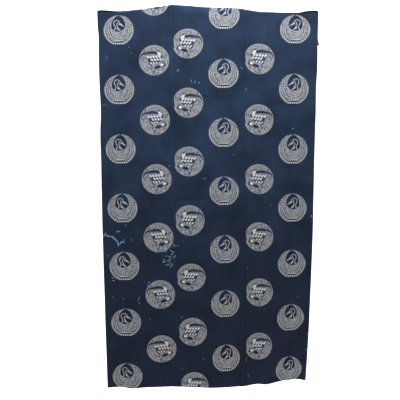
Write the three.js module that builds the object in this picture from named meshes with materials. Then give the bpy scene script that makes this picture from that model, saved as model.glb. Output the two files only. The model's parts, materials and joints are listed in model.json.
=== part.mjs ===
// A katazome cloth: three loom-width panels of indigo cotton sewn side by side, hung over a straight edge.
// Millimetres, +Z up. The origin is the middle of the line that the cloth hangs over, and its face looks to -Y.
import * as THREE from "three";

const CLOTH_THICKNESS = 1.2;
const SEAM_GAP = 0.3; // between neighbouring panels
const FLAP_LENGTH = 158; // from the level of the corners, over the top and down behind
const SETTLED = 5; // how far the face and the flap stand off the line that the cloth hangs over
const SETTLING = 500; // how far below the crest the face has drawn in that near
const COLUMNS = 12; // faces across one panel
const FACE_ROWS = 22; // faces from the fold down to the hem
const FOLD_ROWS = 6; // faces round the top fold
const FLAP_ROWS = 3; // faces down the flap

// Each panel, from its left side to its right side, measured across the whole cloth.
const PANELS = [
  { name: "panel_left", from: 0, to: 336, color: 0x1d2740 },
  { name: "panel_middle", from: 336, to: 664, color: 0x1b253d },
  { name: "panel_right", from: 664, to: 988, color: 0x1a233a },
];
const CLOTH_WIDTH = PANELS.at(-1).to;

// The top fold: how far its crest rises over the level of the corners, and its radius.
const TOP_FOLD = [
  { across: 0, rise: 8, radius: 5 },
  { across: 50, rise: 7, radius: 5 },
  { across: 75, rise: 2.5, radius: 5 },
  { across: 130, rise: 3, radius: 7 },
  { across: 200, rise: 13, radius: 12 },
  { across: 270, rise: 24, radius: 14 },
  { across: 345, rise: 29, radius: 14 },
  { across: 480, rise: 20, radius: 14 },
  { across: 560, rise: 20, radius: 14 },
  { across: 625, rise: 17, radius: 14 },
  { across: 690, rise: 7, radius: 11 },
  { across: 745, rise: 0, radius: 7 },
  { across: 905, rise: -3, radius: 5 },
  { across: 945, rise: 5, radius: 5 },
  { across: 988, rise: 7, radius: 5 },
];

// How far the hanging face stands behind the line it hangs over, down its four upright lines.
const FACE_DEPTH = [
  { down: 0, left_side: 0, left_seam: 0, right_seam: 0, right_side: 0 },
  { down: 450, left_side: -14, left_seam: -6, right_seam: 2, right_side: 2 },
  { down: 900, left_side: -42, left_seam: -30, right_seam: 0, right_side: 24 },
  { down: 1350, left_side: -50, left_seam: -26, right_seam: 16, right_side: 64 },
  { down: 1780, left_side: -34, left_seam: -8, right_seam: 40, right_side: 108 },
];

// How far its upright lines have moved to the right of plumb.
const LEAN = [
  { down: 0, left_side: 0, left_seam: -2, right_seam: 0, right_side: 0 },
  { down: 450, left_side: 4, left_seam: 2, right_seam: 4, right_side: 0 },
  { down: 900, left_side: 8, left_seam: 8, right_seam: 9, right_side: 2 },
  { down: 1350, left_side: 14, left_seam: 17, right_seam: 13, right_side: 2 },
  { down: 1780, left_side: 18, left_seam: 26, right_seam: 16, right_side: 0 },
];

// The hem: how far down the cloth it lies, and how far its ripples stand towards the front.
const HEM_LINE = [
  { across: 0, down: 1761, ripple: 0 },
  { across: 70, down: 1762, ripple: -2 },
  { across: 115, down: 1765, ripple: 14 },
  { across: 160, down: 1767, ripple: 7 },
  { across: 230, down: 1771, ripple: 0 },
  { across: 325, down: 1775, ripple: -6 },
  { across: 400, down: 1780, ripple: 0 },
  { across: 505, down: 1786, ripple: 10 },
  { across: 660, down: 1790, ripple: 3 },
  { across: 735, down: 1787, ripple: -8 },
  { across: 780, down: 1789, ripple: 1 },
  { across: 875, down: 1783, ripple: -14 },
  { across: 950, down: 1781, ripple: -9 },
  { across: 988, down: 1785, ripple: 0 },
];
const RIPPLE_REACH = 420; // the ripples die out this far above the hem

// How far the flap's sides stick out past the face at its lower edge.
const FLAP_OUT_LEFT = 3;
const FLAP_OUT_RIGHT = 7;

// A smooth line through one column of a table, looked up by another.
function lookUp(rows, key, column, at) {
  const last = rows.length - 1;
  const inside = THREE.MathUtils.clamp(at, rows[0][key], rows[last][key]);
  let i = 0;
  while (i < last - 1 && rows[i + 1][key] < inside) i += 1;
  const slope = (a, b) => (rows[b][column] - rows[a][column]) / (rows[b][key] - rows[a][key]);
  const span = rows[i + 1][key] - rows[i][key];
  const t = (inside - rows[i][key]) / span;
  const startSlope = slope(Math.max(i - 1, 0), i + 1) * span;
  const endSlope = slope(i, Math.min(i + 2, last)) * span;
  const rest = 1 - t;
  return (
    rows[i][column] * (1 + 2 * t) * rest * rest +
    startSlope * t * rest * rest +
    rows[i + 1][column] * (3 - 2 * t) * t * t -
    endSlope * rest * t * t
  );
}

// A smooth surface between the four upright lines of a table.
function betweenUprights(rows, across, down) {
  const uprights = [
    { across: 0, value: lookUp(rows, "down", "left_side", down) },
    { across: PANELS[0].to, value: lookUp(rows, "down", "left_seam", down) },
    { across: PANELS[1].to, value: lookUp(rows, "down", "right_seam", down) },
    { across: CLOTH_WIDTH, value: lookUp(rows, "down", "right_side", down) },
  ];
  return lookUp(uprights, "across", "value", across);
}

// The ripples of the hem, which fade upwards.
function rippleDepth(across, down) {
  const hem = lookUp(HEM_LINE, "across", "down", across);
  const fade = THREE.MathUtils.smoothstep(down, hem - RIPPLE_REACH, hem);
  return -fade * lookUp(HEM_LINE, "across", "ripple", across);
}

// A point of the hung cloth's middle layer. Down is measured along the cloth from the level of the corners,
// so it is below zero on the crest and on the flap behind it.
function clothPoint(across, down) {
  const rise = lookUp(TOP_FOLD, "across", "rise", across);
  const radius = lookUp(TOP_FOLD, "across", "radius", across);
  const quarter = (Math.PI / 2) * radius;
  const fromCrest = down + rise;
  const turn = THREE.MathUtils.clamp(fromCrest / radius, -Math.PI / 2, Math.PI / 2);
  const straight = Math.max(Math.abs(fromCrest) - quarter, 0);
  const share = across / CLOTH_WIDTH;
  const point = new THREE.Vector3(
    across - CLOTH_WIDTH / 2,
    -radius * Math.sin(turn),
    rise - radius * (1 - Math.cos(turn)) - straight,
  );
  if (fromCrest > 0) {
    const drawnIn = THREE.MathUtils.smoothstep(straight, 0, SETTLING);
    point.x += betweenUprights(LEAN, across, down);
    point.y += betweenUprights(FACE_DEPTH, across, down) + rippleDepth(across, down);
    point.y += (radius - SETTLED) * drawnIn;
  } else {
    const fallen = straight / FLAP_LENGTH;
    point.x += THREE.MathUtils.lerp(-FLAP_OUT_LEFT, FLAP_OUT_RIGHT, share) * fallen;
    point.y -= (radius - SETTLED) * fallen;
  }
  return point;
}

// The direction out of the cloth's printed side.
function clothNormal(across, down) {
  const step = 0.5;
  const sideways = clothPoint(across + step, down).sub(clothPoint(across - step, down));
  const upwards = clothPoint(across, down - step).sub(clothPoint(across, down + step));
  return sideways.cross(upwards).normalize();
}

// The stations down the cloth, from the flap's lower edge over the fold to the hem.
function stationsDown(across) {
  const rise = lookUp(TOP_FOLD, "across", "rise", across);
  const radius = lookUp(TOP_FOLD, "across", "radius", across);
  const hem = lookUp(HEM_LINE, "across", "down", across);
  const quarter = (Math.PI / 2) * radius;
  const foldStart = -rise - quarter;
  const foldEnd = -rise + quarter;
  const flapEnd = -FLAP_LENGTH;
  const evenly = (from, to, count) =>
    Array.from({ length: count }, (_, i) => THREE.MathUtils.lerp(from, to, i / count));
  return [
    ...evenly(flapEnd, foldStart, FLAP_ROWS),
    ...evenly(foldStart, foldEnd, FOLD_ROWS),
    ...evenly(foldEnd, hem, FACE_ROWS),
    hem,
  ];
}

// One panel as a closed sheet: the printed side, the back, and the four narrow edges between them.
function panelGeometry(panel) {
  const left = panel.from + (panel.from > 0 ? SEAM_GAP / 2 : 0);
  const right = panel.to - (panel.to < CLOTH_WIDTH ? SEAM_GAP / 2 : 0);
  const points = [];
  for (const side of [1, -1]) {
    for (let i = 0; i <= COLUMNS; i += 1) {
      const across = THREE.MathUtils.lerp(left, right, i / COLUMNS);
      for (const down of stationsDown(across)) {
        const offset = clothNormal(across, down).multiplyScalar((side * CLOTH_THICKNESS) / 2);
        points.push(clothPoint(across, down).add(offset));
      }
    }
  }
  const rows = FLAP_ROWS + FOLD_ROWS + FACE_ROWS;
  const at = (side, i, j) => side * (COLUMNS + 1) * (rows + 1) + i * (rows + 1) + j;
  const triangles = [];
  const quad = (a, b, c, d) => triangles.push(a, b, c, a, c, d);
  for (let i = 0; i < COLUMNS; i += 1) {
    for (let j = 0; j < rows; j += 1) {
      quad(at(0, i, j), at(0, i, j + 1), at(0, i + 1, j + 1), at(0, i + 1, j));
      quad(at(1, i, j), at(1, i + 1, j), at(1, i + 1, j + 1), at(1, i, j + 1));
    }
    quad(at(0, i, 0), at(0, i + 1, 0), at(1, i + 1, 0), at(1, i, 0));
    quad(at(0, i, rows), at(1, i, rows), at(1, i + 1, rows), at(0, i + 1, rows));
  }
  for (let j = 0; j < rows; j += 1) {
    quad(at(0, 0, j), at(1, 0, j), at(1, 0, j + 1), at(0, 0, j + 1));
    quad(at(0, COLUMNS, j), at(0, COLUMNS, j + 1), at(1, COLUMNS, j + 1), at(1, COLUMNS, j));
  }
  const geometry = new THREE.BufferGeometry().setFromPoints(points);
  geometry.setIndex(triangles);
  geometry.computeVertexNormals();
  return geometry;
}

const cloth = new THREE.Group();
for (const panel of PANELS) {
  const material = new THREE.MeshStandardMaterial({
    color: panel.color,
    roughness: 0.95,
    metalness: 0,
    side: THREE.DoubleSide,
  });
  const mesh = new THREE.Mesh(panelGeometry(panel), material);
  mesh.name = panel.name;
  cloth.add(mesh);
}

export default cloth;
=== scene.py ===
"""A hung katazome cloth: three loom-width panels of indigo cotton with resist-printed roundels.

Metres, +Z up. The origin is the middle of the line that the cloth hangs over. Its printed face looks to -Y.
"Across" is measured over the flat cloth from its left side, and "down" along it from its top corners' level.
"""

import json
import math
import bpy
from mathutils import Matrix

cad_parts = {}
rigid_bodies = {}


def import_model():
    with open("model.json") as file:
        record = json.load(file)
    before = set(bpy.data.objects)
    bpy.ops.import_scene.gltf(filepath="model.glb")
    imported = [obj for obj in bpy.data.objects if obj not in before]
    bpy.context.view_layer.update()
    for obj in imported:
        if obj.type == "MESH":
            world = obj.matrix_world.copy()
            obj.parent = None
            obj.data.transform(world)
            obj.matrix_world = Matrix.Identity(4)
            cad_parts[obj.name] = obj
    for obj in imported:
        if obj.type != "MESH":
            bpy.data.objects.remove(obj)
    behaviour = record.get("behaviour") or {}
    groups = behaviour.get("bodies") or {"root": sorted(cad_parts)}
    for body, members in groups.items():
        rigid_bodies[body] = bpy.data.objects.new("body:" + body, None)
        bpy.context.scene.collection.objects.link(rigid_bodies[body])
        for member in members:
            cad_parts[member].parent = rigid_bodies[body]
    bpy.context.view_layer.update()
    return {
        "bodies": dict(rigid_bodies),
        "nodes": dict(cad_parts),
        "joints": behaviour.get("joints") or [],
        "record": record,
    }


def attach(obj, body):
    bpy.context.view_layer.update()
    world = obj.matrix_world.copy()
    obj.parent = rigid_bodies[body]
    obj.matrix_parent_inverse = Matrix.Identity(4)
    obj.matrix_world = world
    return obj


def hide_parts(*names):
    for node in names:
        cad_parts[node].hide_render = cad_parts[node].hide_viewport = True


bl_info = {
    "name": "Katazome Cloth",
    "version": (1, 0, 0),
    "blender": (4, 5, 0),
    "location": "View3D > Sidebar > Cloth",
    "description": "Builds a hung indigo cloth with resist-printed roundels",
    "category": "Add Mesh",
}

import bmesh
import bpy
import numpy as np
from bpy.props import FloatProperty, FloatVectorProperty, IntProperty, PointerProperty
from mathutils import Matrix, Vector

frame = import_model()

MM = 0.001
BODY = "root"


def table(columns, *rows):
    """A table in millimetres as {column name: its numbers in metres}."""
    return {name: np.array(values, float) * MM for name, values in zip(columns.split(), zip(*rows))}


def loom_panel(sides, first_crane, turtle_lower, threads, inner):
    """One panel, in millimetres: its sides across the cloth, how far down its first crane lies, how much
    lower its turtles are, and the threads sewn into it. An inner panel runs on under its left neighbour,
    and the outer side of its loom width is on the right."""
    return {
        "sides": sides,
        "first_crane": first_crane,
        "turtle_lower": turtle_lower,
        "threads": threads,
        "mirrored": inner,
        "lapped": inner,
    }


PANELS = {
    "left": loom_panel((0, 336), 80, 4, ("hemming_left", "seam_thread"), inner=False),
    "middle": loom_panel((336, 664), 11, -5, ("hemming_middle",), inner=True),
    "right": loom_panel((664, 988), 80, 0, ("hemming_right",), inner=True),
}
PANEL_SIDES = np.array([0, 336, 664, 988]) * MM
CLOTH_WIDTH = PANEL_SIDES[-1]

# Rows of faces over a turning, round its edge and over the top fold. The face and the flap between them have
# as many as fit into these lengths.
TURNING_ROWS = 3
ROLL_ROWS = 5
FOLD_ROWS = 14
FACE_STRETCH = 1.75
FLAP_STRETCH = 0.13

# The top fold: how far its crest rises over the level of the corners, and its radius.
TOP_FOLD = table(
    "across rise radius",
    (0, 4.5, 5),
    (10, 8, 5),
    (50, 7, 5),
    (75, 5, 5),
    (130, 7, 7),
    (200, 13.5, 12),
    (270, 24, 14),
    (345, 31.5, 14),
    (420, 28, 14),
    (480, 22, 14),
    (560, 20, 14),
    (625, 17, 14),
    (690, 8, 11),
    (745, 2, 7),
    (905, -1.5, 5),
    (945, 5, 5),
    (978, 6.5, 5),
    (988, 3.5, 5),
)

# How far the hanging face stands behind the line it hangs over, down its four upright lines.
FACE_DEPTH = table(
    "down left_side left_seam right_seam right_side",
    (0, 0, 0, 0, 0),
    (450, -14, -6, 2, 2),
    (900, -42, -30, 0, 24),
    (1350, -50, -26, 16, 64),
    (1780, -34, -8, 40, 108),
)

# How far its upright lines have moved to the right of plumb.
LEAN = table(
    "down left_side left_seam right_seam right_side",
    (0, 0, -2, 0, 0),
    (450, 4, 2, 4, 0),
    (900, 8, 8, 9, 2),
    (1350, 14, 17, 13, 2),
    (1780, 18, 26, 16, 0),
)

# How far the stencil had drifted to the right of its column and below its even steps, down each panel.
PRINT_DRIFT = table(
    "down left_aside left_lower middle_aside middle_lower right_aside right_lower",
    (0, -1, 8, 1, 13, -1, 5.5),
    (200, -4, 2, -2.5, 3, -2, -5),
    (450, -5, -0.5, -4, -1.5, -3.5, -2),
    (900, 0.5, -1, -4.5, -4, -1, 4),
    (1100, 1.4, -0.5, -3.9, 2.5, 1.2, 5),
    (1350, 2, 0, -3, -5, 3.5, 6),
    (1780, 0, -5, 2, -3, 5, 12),
)

# How far the slack selvedges have moved to the right, each along its own side.
SELVEDGE_SLACK = table(
    "down left right",
    (-150, 0, 8),
    (-60, 0, 8),
    (-20, -4, 9),
    (0, -4.5, 9),
    (60, -4, 9.5),
    (110, -1, 9),
    (250, -2, 9.5),
    (340, -1, 6.5),
    (450, 2, 7.5),
    (550, -2, 6.5),
    (700, 0, 6),
    (900, 0, 7.5),
    (1050, 0, 9.5),
    (1350, 0, 9.5),
    (1600, 0, 8.5),
    (1780, 0, 5),
)

# The hem: how far down the cloth it lies, and how far its ripples stand towards the front.
HEM_LINE = table(
    "across down ripple",
    (0, 1761, 0),
    (70, 1762, -2),
    (115, 1765, 14),
    (160, 1767, 7),
    (230, 1771, 0),
    (325, 1775, -6),
    (400, 1780, 0),
    (505, 1786, 10),
    (660, 1790, 3),
    (735, 1787, -8),
    (780, 1789, 1),
    (875, 1783, -14),
    (950, 1781, -9),
    (988, 1785, 0),
)

# Old folds and dents: a line over the cloth from end to end, its height towards the front and its width.
CREASES = table(
    "across down to_across to_down height width",
    (0, 856, 345, 866, -2.8, 11),
    (325, 864, 490, 862, -5.4, 8),
    (470, 868, 988, 862, -2.6, 11),
    (744, 424, 988, 426, -2.6, 8),
    (455, 396, 668, 402, -2.8, 9),
    (0, 1080, 200, 1091, 2.6, 8),
    (760, 1090, 988, 1118, -3.0, 9),
    (750, 1313, 988, 1322, 2.6, 8),
    (360, 1351, 492, 1357, -3.4, 8),
    (232, 33, 310, 95, -1.3, 8),
    (245, 626, 332, 712, 1.1, 8),
    (492, 860, 474, 1750, 1.1, 7),
    (690, 110, 760, 395, 0.8, 12),
    (520, 1180, 640, 1330, 0.8, 12),
    (90, 440, 210, 560, -0.8, 12),
    (806, 1480, 930, 1640, -0.9, 12),
)

# Pale marks where the paste cracked or the dye wore off, in millimetres on the flat cloth:
# (across, down, half length, half width, turn in degrees from across towards down).
PALE_MARKS = {
    "left": (
        (9, 1018, 11, 3.2, -54), (23, 1023, 8, 4, 17), (37, 1026, 10, 2.6, 8), (48, 1031, 9, 4.2, 45),
        (60, 1043, 13, 3.6, 46), (70, 1060, 11, 3.8, 77), (83, 1056, 10, 3, -47), (92, 1052, 7, 3.6, 18),
        (98, 1044, 8, 1.6, -75), (71, 1003, 10, 2.4, -15), (131, 1044, 3.2, 3, 0), (24, 1117, 3.4, 3, 0),
        (329, 1076, 8, 3.6, 60), (320, 1087, 4, 2.4, -40), (313, 1100, 5, 3.4, 40), (322, 1105, 6, 3, 10),
        (290, 1101, 10, 2.6, -50), (315, 1117, 7, 3, 45), (322, 1113, 6, 2, 90), (308, 1129, 6, 3.6, 20),
        (329, 1129, 13, 2.6, -40), (279, 1153, 7, 4, -20), (281, 1142, 6, 2, -30), (291, 1127, 6, 2, -40),
        (300, 1144, 12, 2, -35), (305, 1151, 10, 2, -45), (296, 1167, 10, 2.4, -5), (310, 1162, 7, 2, -60),
        (314, 1172, 13, 2.4, -50), (245, 1104, 7, 3.4, -10), (136, 162, 3.2, 2.8, 0),
        (147, 188, 3, 2.2, 30), (36, 207, 3.4, 2.6, 0), (17, 420, 9, 1.5, -34), (315, 704, 5, 2, 50),
        (107, 974, 3.2, 2.8, 0), (41, 1222, 6, 2, 3), (44, 1234, 6, 2, -8), (78, 1132, 5, 3, -50),
        (185, 1247, 2.8, 2.6, 0), (207, 1249, 6, 2.4, 45), (199, 1262, 5, 2, 60), (209, 1266, 5, 2.4, -20),
        (40, 1314, 3.2, 2.6, 0), (86, 1323, 2.8, 2.6, 0), (158, 1325, 13, 1.7, 118),
        (159, 1347, 9, 1.7, 50), (206, 1430, 3.2, 2.4, 0),
    ),
    "middle": (
        (360, 269, 6, 3.6, -60), (421, 316, 5, 2.6, 80), (437, 320, 5, 2.2, -70), (455, 324, 4, 2.6, 20),
        (476, 764, 7, 1.6, 5), (649, 257, 8, 1.8, 39), (345, 1077, 4, 2.4, 0), (356, 1424, 4, 2.6, 55),
        (351, 1684, 3.2, 2.6, 0), (457, 1638, 3.4, 2.8, 0), (610, 655, 2.6, 2.4, 0),
    ),
    "right": (
        (668, 349, 3.2, 2.8, 0), (671, 357, 2.8, 2.4, 0), (889, 529, 4, 2.4, 10), (981, 940, 7, 1.9, 90),
        (786, 887, 3, 2.6, 0), (676, 1196, 3, 2.8, 0), (932, 1339, 3, 2.6, 0), (984, 1536, 3.2, 2.8, 0),
        (982, 1622, 3, 2.6, 0), (683, 1739, 5, 2, 80), (672, 1652, 12, 1.4, 88),
    ),
}
# How pale they are. The branched scratch lies left of BRANCH_END, the other scratches are longer and wider
# than the two sizes, and the rest are flecks and hairlines.
BRANCH_TONE = 0.9
BRANCH_END = 150
SCRATCH_TONE = 0.68
SCRATCH_LENGTH = 3.5
SCRATCH_WIDTH = 1.8
FLECK_TONE = 0.5

# Dark marks, in the same way: burn spots, and one faint painted shadow, the one mark longer than the length
# below.
DARK_MARKS = {
    "left": ((324, 1092, 11, 5.2, -60), (308, 1113, 11, 5.2, -62), (291, 1137, 8, 6, -20)),
    "middle": ((429, 315, 3.6, 3.2, 0), (482, 384, 13, 9, 10)),
    "right": ((884, 530, 2.6, 2.2, 0),),
}
SHADOW_MARK_LENGTH = 12
SHADOW_MARK_TONE = -0.45
BURNT_TONE = -1.0

# Where pale thread shows at the left seam, down the cloth.
PALE_STITCHES = (20, 44, 52, 134, 210, 290, 357, 385, 405)


def metres(name, default, description):
    """A length that a user can change, in metres."""
    return FloatProperty(name=name, description=description, default=default, unit="LENGTH")


def dye(name, default, description):
    """A colour that a user can change."""
    return FloatVectorProperty(name=name, description=description, default=default, subtype="COLOR", size=3)


class ClothSizes(bpy.types.PropertyGroup):
    """Sizes of the cloth and its sewing."""

    thickness: metres("Thickness", 0.0006, "Thickness of the cotton")
    flap_length: metres("Flap Length", 0.158, "From the level of the corners, over the top and down behind")
    settled: metres("Settled", 0.005, "How far the face and the flap stand off the line they hang over")
    settling: metres("Settling", 0.5, "How far below the crest the face has drawn in that near")
    ripple_reach: metres("Ripple Reach", 0.42, "The hem's ripples die out this far above it")
    flap_out_left: metres("Flap Out Left", 0.0005, "How far the flap sticks out on the left")
    flap_out_right: metres("Flap Out Right", 0.0155, "How far the flap sticks out on the right")
    turned_gap: metres("Turned Gap", 0.0014, "Between the face and the cloth turned under")
    side_turning: metres("Side Turning", 0.02, "Width of cloth turned under at the sides")
    hem_turning: metres("Hem Turning", 0.012, "Width of cloth turned under at the hem")
    seam_allowance: metres("Seam Allowance", 0.012, "Width of cloth turned under at a seam")
    seam_gap: metres("Seam Gap", 0.0003, "Between two panels at a seam")
    mesh_pitch: metres("Mesh Pitch", 0.0045, "Size of the faces of the cloth")
    stitch_length: metres("Stitch Length", 0.004, "Length of one hemming stitch")
    stitch_step: metres("Stitch Step", 0.013, "From one hemming stitch to the next")
    thread: metres("Thread", 0.0007, "Thickness of the thread")


class PrintSizes(bpy.types.PropertyGroup):
    """Layout of the stencilled print."""

    roundel_radius: metres("Roundel Radius", 0.07, "Radius of a crane or turtle roundel")
    stencil_repeat: metres("Stencil Repeat", 0.272, "From one roundel down to the next like it")
    crane_column: metres("Crane Column", 0.094, "From the outer side of the loom width")
    turtle_column: metres("Turtle Column", 0.256, "From the outer side of the loom width")
    turtle_drop: metres("Turtle Drop", 0.138, "How far a turtle lies below the crane beside it")
    stencil_edge: metres("Stencil Edge", 0.0635, "The plate ends this far past the middle of the turtles")


class DyeColours(bpy.types.PropertyGroup):
    """Colours of the dyed cotton, with a pale blue and a near black that also paint highlight and shade."""

    indigo: dye("Indigo", (0.0131, 0.0205, 0.0396), "The dyed ground")
    second_dip: dye("Second Dip", (0.0148, 0.0193, 0.039), "Where more dye took")
    resist: dye("Resist", (0.8, 0.82, 0.84), "Cotton that the paste kept white")
    yellowed: dye("Yellowed", (0.86, 0.74, 0.62), "Undyed cotton where it has yellowed")
    # Pale blue of the painted highlight on the crest, the painted sheen over the upper half and the paler
    # line by the left seam.
    highlight_pale_blue: dye("Sunned", (0.1, 0.23, 0.5), "Indigo that light and wear have paled")
    faded: dye("Faded", (0.24, 0.45, 0.6), "Indigo that wore off")
    # Near black of the burn spots, the painted shadow mark, the painted shade on the corners and flap, and
    # the dark crest line.
    burn_and_shade_black: dye("Soil", (0.002, 0.002, 0.003), "Soiled and burnt spots")
    thread: dye("Thread", (0.02, 0.03, 0.055), "Sewing thread")
    pale_thread: dye("Pale Thread", (0.3, 0.36, 0.4), "Thread that took no dye")


class StageSettings(bpy.types.PropertyGroup):
    """Camera, lights and floor."""

    camera_distance: metres("Camera Distance", 2.8, "In front of the cloth")
    camera_drop: metres("Camera Drop", 0.542, "Below the top corners")
    camera_aside: metres("Camera Aside", -0.033, "To the right of the middle")
    camera_tilt: FloatProperty(
        name="Camera Tilt", description="Below level", default=math.radians(6.44), subtype="ANGLE"
    )
    lens: FloatProperty(name="Lens", description="Focal length", default=54.0, unit="CAMERA")
    floor_drop: metres("Floor Drop", 2.6, "Floor below the top corners")
    key_power: FloatProperty(
        name="Key Power", description="Lamp over the top edge", default=28.0, subtype="POWER"
    )
    backdrop_power: FloatProperty(
        name="Backdrop Power", description="Lamp on the floor and backdrop", default=330.0, subtype="POWER"
    )
    ambient: FloatProperty(name="Ambient", description="Strength of the light from all sides", default=0.44)


def sizes():
    return bpy.context.scene.katazome_sizes


def print_sizes():
    return bpy.context.scene.katazome_print


def colours():
    return bpy.context.scene.katazome_colours


def stage_settings():
    return bpy.context.scene.katazome_stage


# The hanging shape


def smooth_line(knots, values, at):
    """A smooth line through the values at the knots, each of which is a number or a row for the points."""
    last = len(knots) - 1
    inside = np.clip(at, knots[0], knots[-1])
    i = np.clip(np.searchsorted(knots, inside) - 1, 0, last - 1)
    points = np.arange(len(inside))

    def value(k):
        return values[k] if values.ndim == 1 else values[k, points]

    def slope(a, b):
        return (value(b) - value(a)) / (knots[b] - knots[a])

    span = knots[i + 1] - knots[i]
    t = (inside - knots[i]) / span
    start_slope = slope(np.maximum(i - 1, 0), i + 1) * span
    end_slope = slope(i, np.minimum(i + 2, last)) * span
    rest = 1 - t
    return (
        value(i) * (1 + 2 * t) * rest * rest
        + start_slope * t * rest * rest
        + value(i + 1) * (3 - 2 * t) * t * t
        - end_slope * rest * t * t
    )


def smooth_step(low, high, at):
    t = np.clip((at - low) / (high - low), 0, 1)
    return t * t * (3 - 2 * t)


def hem_down(across):
    return smooth_line(HEM_LINE["across"], HEM_LINE["down"], across)


def fold_rise(across):
    return smooth_line(TOP_FOLD["across"], TOP_FOLD["rise"], across)


def fold_radius(across):
    return smooth_line(TOP_FOLD["across"], TOP_FOLD["radius"], across)


def between_uprights(rows, across, down):
    """A smooth surface between the four upright lines of a table."""
    uprights = [
        smooth_line(rows["down"], rows[name], down)
        for name in ("left_side", "left_seam", "right_seam", "right_side")
    ]
    return smooth_line(PANEL_SIDES, np.array(uprights), across)


def ripple_depth(across, down):
    """How far the hem's ripples stand behind the face."""
    hem = hem_down(across)
    fade = smooth_step(hem - sizes().ripple_reach, hem, down)
    return -fade * smooth_line(HEM_LINE["across"], HEM_LINE["ripple"], across)


def hung_points(across, down):
    """The place of each flat point in the hung cloth, without its creases."""
    rise = fold_rise(across)
    radius = fold_radius(across)
    from_crest = down + rise
    turn = np.clip(from_crest / radius, -math.pi / 2, math.pi / 2)
    straight = np.maximum(np.abs(from_crest) - radius * math.pi / 2, 0)
    share = across / CLOTH_WIDTH
    x = across - CLOTH_WIDTH / 2
    y = -radius * np.sin(turn)
    z = rise - radius * (1 - np.cos(turn)) - straight
    s = sizes()
    drawn_in = smooth_step(0, s.settling, straight)
    fallen = straight / s.flap_length
    out = s.flap_out_right * share - s.flap_out_left * (1 - share)
    knots = SELVEDGE_SLACK["down"]
    slack = smooth_line(knots, SELVEDGE_SLACK["right"], down) * smooth_step(0.965, 1.005, share)
    slack += smooth_line(knots, SELVEDGE_SLACK["left"], down) * smooth_step(0.03, -0.002, share)
    is_face = from_crest > 0
    hanging = between_uprights(FACE_DEPTH, across, down) + ripple_depth(across, down)
    nearer = radius - s.settled
    x += slack + np.where(is_face, between_uprights(LEAN, across, down), out * fallen**5)
    y += np.where(is_face, hanging + nearer * drawn_in, -nearer * fallen)
    return np.stack([x, y, z], 1)


def hung_normals(across, down):
    """The direction out of the printed side at each flat point."""
    step = 0.0005
    sideways = hung_points(across + step, down) - hung_points(across - step, down)
    upwards = hung_points(across, down - step) - hung_points(across, down + step)
    normal = np.cross(sideways, upwards)
    return normal / np.linalg.norm(normal, axis=1)[:, None]


def crease_relief(across, down):
    """The height of the old folds and dents, with ends that fade."""
    relief = np.zeros(len(across))
    point = np.stack([across, down], 1)
    for k in range(len(CREASES["across"])):
        start = np.array([CREASES["across"][k], CREASES["down"][k]])
        line = np.array([CREASES["to_across"][k], CREASES["to_down"][k]]) - start
        length = np.linalg.norm(line)
        along = (point - start) @ line / length
        aside = (point - start) @ np.array([-line[1], line[0]]) / length
        wander = 0.003 * np.sin(along * 21 + k) + 0.0015 * np.sin(along * 67 + 2 * k)
        ends = smooth_step(0, 0.2, along / length) * smooth_step(0, 0.2, 1 - along / length)
        relief += CREASES["height"][k] * ends * np.exp(-np.abs(aside - wander) / CREASES["width"][k])
    return relief


def ridge(height, width, run, inwards):
    """The ridge that cloth folded under to a width makes, inwards from its edge."""
    return height * (1 - smooth_step(width - 0.002, width + run, inwards))


def sewing_relief(across, down):
    """The ripples and ridges that the sewing draws into the cloth, and its slack waves."""
    s = sizes()
    relief = 0.0006 * np.sin(down * 9.1 + 3.0 * across) * np.sin(across * 11.3 + 0.8)
    relief += 0.0005 * np.sin(down * 31 - 17 * across + 1.3) * np.sin(across * 23 + down * 5)
    pucker_step = 0.031
    for seam in PANEL_SIDES[1:-1]:
        near = np.exp(-np.abs(across - seam) / 0.012)
        relief += 0.0004 * near * np.sin(down * 2 * math.pi / pucker_step + 2.5 * np.sin(down * 17))
        aside = seam - across
        relief += np.where(aside > 0, ridge(0.0008, s.seam_allowance, 0.005, aside), 0)
    from_side = np.minimum(across, CLOTH_WIDTH - across)
    relief += ridge(0.0007, s.side_turning, 0.004, from_side)
    near_side = np.exp(-from_side / 0.02)
    relief += 0.0009 * near_side * np.sin(down * 23 + 2.1 * np.sin(down * 7.3)) * np.sin(down * 5.1)
    return relief + ridge(0.0007, s.hem_turning, 0.004, hem_down(across) - down)


def turned(flat, low, high, gap):
    """Turns the cloth past low and high under: where flat points lie, and their share of the way back."""
    beyond = np.maximum(np.maximum(flat - high, low - flat), 0)
    angle = np.minimum(beyond / (gap / 2), math.pi)
    out = gap / 2 * np.sin(angle) - np.maximum(beyond - math.pi * gap / 2, 0)
    base = np.where(flat > high, high + out, np.where(flat < low, low - out, flat))
    return base, (1 - np.cos(angle)) / 2


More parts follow.
